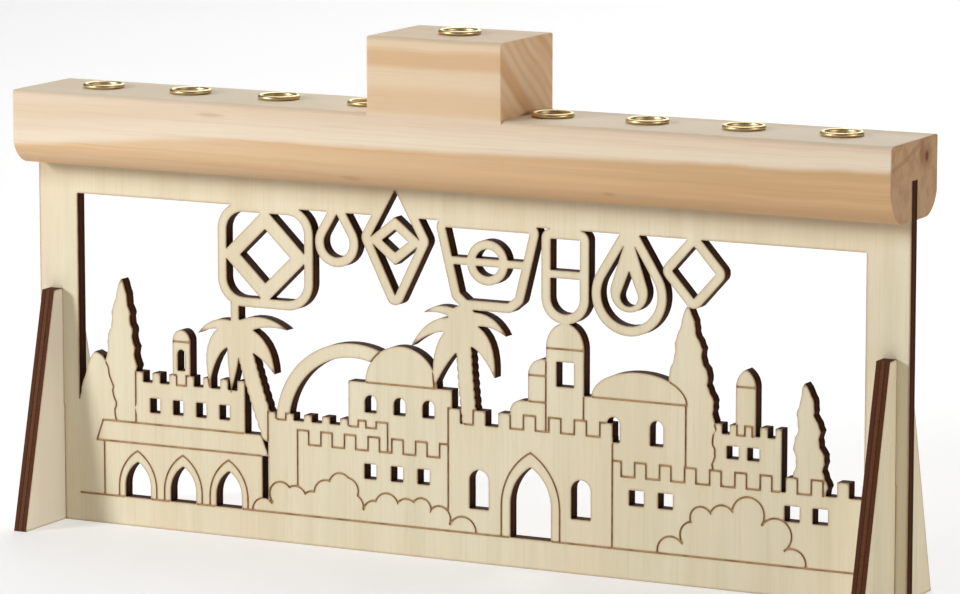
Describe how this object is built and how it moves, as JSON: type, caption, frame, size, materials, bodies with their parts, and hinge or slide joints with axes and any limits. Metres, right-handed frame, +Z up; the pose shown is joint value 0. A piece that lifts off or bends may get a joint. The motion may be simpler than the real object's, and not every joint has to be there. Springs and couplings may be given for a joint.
{
  "type": "menorah",
  "caption": "Free-standing menorah: a wooden bar of brass candle cups with a raised middle cup, on an openwork skyline panel that crosses slotted plywood legs.",
  "frame": {"origin": "middle of the foot of the skyline panel, on the table", "axes": "+X along the bar to the right when facing the decorated face, +Y towards the plain back, +Z up"},
  "size_m": [0.3, 0.0524, 0.1649],
  "materials": {
    "bar_pine": "sanded, unvarnished",
    "block_pine": "sanded, unvarnished",
    "dowel_beech": "plain",
    "panel_plywood": "sanded face, laser-burnt edges",
    "leg_plywood": "sanded face, laser-burnt edges",
    "cup_brass": "polished"
  },
  "bodies": {
    "panel": {"skyline_panel": "panel_plywood"},
    "bar": {"top_bar": "bar_pine", "shamash_block": "block_pine", "dowel_left": "dowel_beech", "dowel_right": "dowel_beech", "candle_cup_1": "cup_brass", "candle_cup_2": "cup_brass", "candle_cup_3": "cup_brass", "candle_cup_4": "cup_brass", "candle_cup_5": "cup_brass", "candle_cup_6": "cup_brass", "candle_cup_7": "cup_brass", "candle_cup_8": "cup_brass", "shamash_cup": "cup_brass"},
    "left_leg": {"leg_left": "leg_plywood"},
    "right_leg": {"leg_right": "leg_plywood"}
  },
  "joints": [
    {"name": "bar_lift", "type": "slide", "parent": "panel", "child": "bar", "axis": [0, 0, 1], "range_m": [0, 0.03]},
    {"name": "left_leg_drop", "type": "slide", "parent": "panel", "child": "left_leg", "axis": [0, 0, -1], "range_m": [0, 0.05]},
    {"name": "right_leg_drop", "type": "slide", "parent": "panel", "child": "right_leg", "axis": [0, 0, -1], "range_m": [0, 0.05]}
  ]
}
